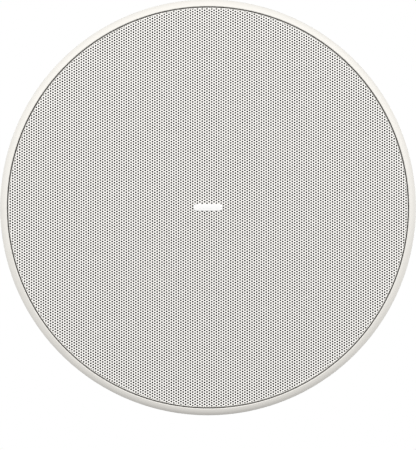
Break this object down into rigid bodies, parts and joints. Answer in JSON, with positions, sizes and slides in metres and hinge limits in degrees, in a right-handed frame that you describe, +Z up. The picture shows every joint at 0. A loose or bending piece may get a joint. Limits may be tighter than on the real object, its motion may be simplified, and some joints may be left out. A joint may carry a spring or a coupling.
{
  "type": "ceiling speaker",
  "caption": "Round flush ceiling loudspeaker: slim white bezel, perforated metal grille, coaxial driver in a steel back can, and swing-out clamps that grip the ceiling board.",
  "frame": {"origin": "centre of the ceiling cut-out collar, in the plane of the bezel's rear face, which is the ceiling plane", "axes": "+Z up into the ceiling void along the collar's axis, the grille faces down along -Z, the badge reads along X and its upper edge is towards +Y"},
  "size_m": [0.304, 0.304, 0.1845],
  "materials": {
    "bezel_plastic": "satin moulded",
    "grille_paint": "fine powder coat",
    "scrim_cloth": "open knit",
    "badge_plate": "satin",
    "gasket_foam": "closed-cell foam",
    "can_steel": "zinc plated",
    "clamp_nylon": "glass-filled",
    "bush_brass": "turned",
    "screw_zinc": "zinc plated",
    "magnet_nickel": "nickel plated",
    "cone_paper": "pressed pulp",
    "surround_rubber": "matt",
    "spider_cloth": "impregnated cloth",
    "former_film": "film",
    "coil_copper": "enamelled wire",
    "basket_paint": "black coat",
    "motor_steel": "zinc plated",
    "ferrite": "sintered",
    "tweeter_plastic": "moulded",
    "dome_silk": "coated cloth",
    "lining_felt": "needled felt",
    "board_laminate": "laminate",
    "capacitor_film": "dipped",
    "resistor_ceramic": "ceramic",
    "lead_insulation": "insulation",
    "block_plastic": "moulded",
    "cover_paint": "zinc plated",
    "gland_nylon": "moulded"
  },
  "bodies": {
    "speaker_body": {"bezel_frame": "bezel_plastic", "ceiling_gasket": "gasket_foam", "grille": "grille_paint", "grille_scrim": "scrim_cloth", "grille_magnets": "magnet_nickel", "badge": "badge_plate", "back_can": "can_steel", "can_gasket": "gasket_foam", "can_screws": "screw_zinc", "damping_lining": "lining_felt", "woofer_gasket": "gasket_foam", "woofer_surround": "surround_rubber", "woofer_basket": "basket_paint", "spider": "spider_cloth", "top_plate": "motor_steel", "magnet": "ferrite", "pole_yoke": "motor_steel", "woofer_screws": "screw_zinc", "tag_strip": "resistor_ceramic", "tweeter_post": "motor_steel", "post_nut": "screw_zinc", "tweeter_housing": "tweeter_plastic", "tweeter_cup": "motor_steel", "tweeter_magnet": "magnet_nickel", "tweeter_pole_plate": "motor_steel", "tweeter_coil": "coil_copper", "tweeter_dome": "dome_silk", "tweeter_faceplate": "tweeter_plastic", "crossover_board": "board_laminate", "board_standoffs": "block_plastic", "board_screws": "screw_zinc", "crossover_inductor": "coil_copper", "crossover_capacitors": "capacitor_film", "crossover_resistor": "resistor_ceramic", "woofer_leads": "lead_insulation", "tweeter_leads": "lead_insulation", "terminal_block": "block_plastic", "terminal_cover": "cover_paint", "terminal_cover_screws": "screw_zinc", "cable_gland": "gland_nylon", "gland_nut": "gland_nylon", "safety_eye": "screw_zinc", "safety_eye_rivets": "screw_zinc"},
    "moving_cone": {"woofer_cone": "cone_paper", "voice_coil_former": "former_film", "voice_coil": "coil_copper"},
    "clamp_1_nut": {"clamp_bush_1": "bush_brass"},
    "clamp_1_leg": {"clamp_arm_1": "clamp_nylon"},
    "clamp_1_bolt": {"clamp_screw_1": "screw_zinc"},
    "clamp_2_nut": {"clamp_bush_2": "bush_brass"},
    "clamp_2_leg": {"clamp_arm_2": "clamp_nylon"},
    "clamp_2_bolt": {"clamp_screw_2": "screw_zinc"},
    "clamp_3_nut": {"clamp_bush_3": "bush_brass"},
    "clamp_3_leg": {"clamp_arm_3": "clamp_nylon"},
    "clamp_3_bolt": {"clamp_screw_3": "screw_zinc"},
    "clamp_4_nut": {"clamp_bush_4": "bush_brass"},
    "clamp_4_leg": {"clamp_arm_4": "clamp_nylon"},
    "clamp_4_bolt": {"clamp_screw_4": "screw_zinc"}
  },
  "joints": [
    {"name": "cone_travel", "type": "slide", "parent": "speaker_body", "child": "moving_cone", "axis": [0, 0, 1], "range_m": [-0.004, 0.004], "stiffness_N_per_m": 1500, "deforming": ["woofer_surround", "spider"]},
    {"name": "clamp_1_draw", "type": "slide", "parent": "speaker_body", "child": "clamp_1_nut", "axis": [0, 0, -1], "range_m": [0, 0.033]},
    {"name": "clamp_1_swing", "type": "hinge", "parent": "clamp_1_nut", "child": "clamp_1_leg", "pos_m": [0.09051, 0.09051, 0.048], "axis": [0, 0, -1], "range_deg": [0, 90]},
    {"name": "clamp_1_turn", "type": "hinge", "parent": "speaker_body", "child": "clamp_1_bolt", "pos_m": [0.09051, 0.09051, 0.048], "axis": [0, 0, 1], "range_deg": [0, 7430]},
    {"name": "clamp_2_draw", "type": "slide", "parent": "speaker_body", "child": "clamp_2_nut", "axis": [0, 0, -1], "range_m": [0, 0.033]},
    {"name": "clamp_2_swing", "type": "hinge", "parent": "clamp_2_nut", "child": "clamp_2_leg", "pos_m": [-0.09051, 0.09051, 0.048], "axis": [0, 0, -1], "range_deg": [0, 90]},
    {"name": "clamp_2_turn", "type": "hinge", "parent": "speaker_body", "child": "clamp_2_bolt", "pos_m": [-0.09051, 0.09051, 0.048], "axis": [0, 0, 1], "range_deg": [0, 7430]},
    {"name": "clamp_3_draw", "type": "slide", "parent": "speaker_body", "child": "clamp_3_nut", "axis": [0, 0, -1], "range_m": [0, 0.033]},
    {"name": "clamp_3_swing", "type": "hinge", "parent": "clamp_3_nut", "child": "clamp_3_leg", "pos_m": [-0.09051, -0.09051, 0.048], "axis": [0, 0, -1], "range_deg": [0, 90]},
    {"name": "clamp_3_turn", "type": "hinge", "parent": "speaker_body", "child": "clamp_3_bolt", "pos_m": [-0.09051, -0.09051, 0.048], "axis": [0, 0, 1], "range_deg": [0, 7430]},
    {"name": "clamp_4_draw", "type": "slide", "parent": "speaker_body", "child": "clamp_4_nut", "axis": [0, 0, -1], "range_m": [0, 0.033]},
    {"name": "clamp_4_swing", "type": "hinge", "parent": "clamp_4_nut", "child": "clamp_4_leg", "pos_m": [0.09051, -0.09051, 0.048], "axis": [0, 0, -1], "range_deg": [0, 90]},
    {"name": "clamp_4_turn", "type": "hinge", "parent": "speaker_body", "child": "clamp_4_bolt", "pos_m": [0.09051, -0.09051, 0.048], "axis": [0, 0, 1], "range_deg": [0, 7430]}
  ],
  "couplings": [
    {"joint": "clamp_1_turn", "follows": "clamp_1_draw", "rad_per_m": 3927},
    {"joint": "clamp_2_turn", "follows": "clamp_2_draw", "rad_per_m": 3927},
    {"joint": "clamp_3_turn", "follows": "clamp_3_draw", "rad_per_m": 3927},
    {"joint": "clamp_4_turn", "follows": "clamp_4_draw", "rad_per_m": 3927}
  ]
}
